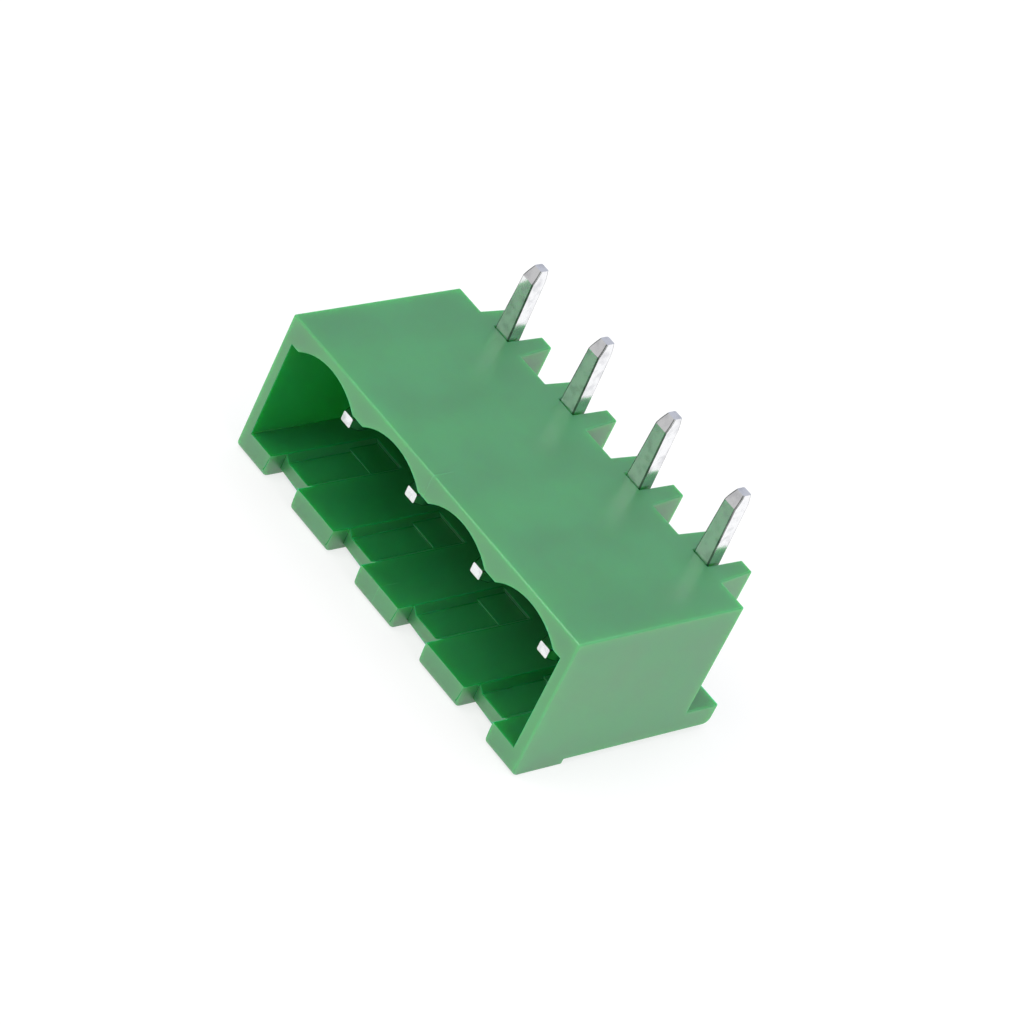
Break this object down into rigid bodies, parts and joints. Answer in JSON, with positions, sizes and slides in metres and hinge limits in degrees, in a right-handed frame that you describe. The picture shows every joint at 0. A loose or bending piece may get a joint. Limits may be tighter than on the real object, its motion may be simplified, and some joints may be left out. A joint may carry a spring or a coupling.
{
  "type": "pluggable terminal block header",
  "caption": "Right-angle board header of a pluggable terminal block, with closed ends, an open plug socket in front and straight solder tails at the rear.",
  "frame": {"origin": "middle of the base of the overall box, with the header lying on its key side", "axes": "+X along the row of poles, -Y out of the mating face, +Y to the rear, +Z out of the board seat along the solder tails"},
  "size_m": [0.0218, 0.012, 0.0116],
  "materials": {
    "housing_plastic": "semi-gloss moulded",
    "tinned_contact": "bright tin"
  },
  "bodies": {
    "root": {"housing": "housing_plastic", "contact_pin_1": "tinned_contact", "contact_pin_2": "tinned_contact", "contact_pin_3": "tinned_contact", "contact_pin_4": "tinned_contact"}
  },
  "joints": []
}
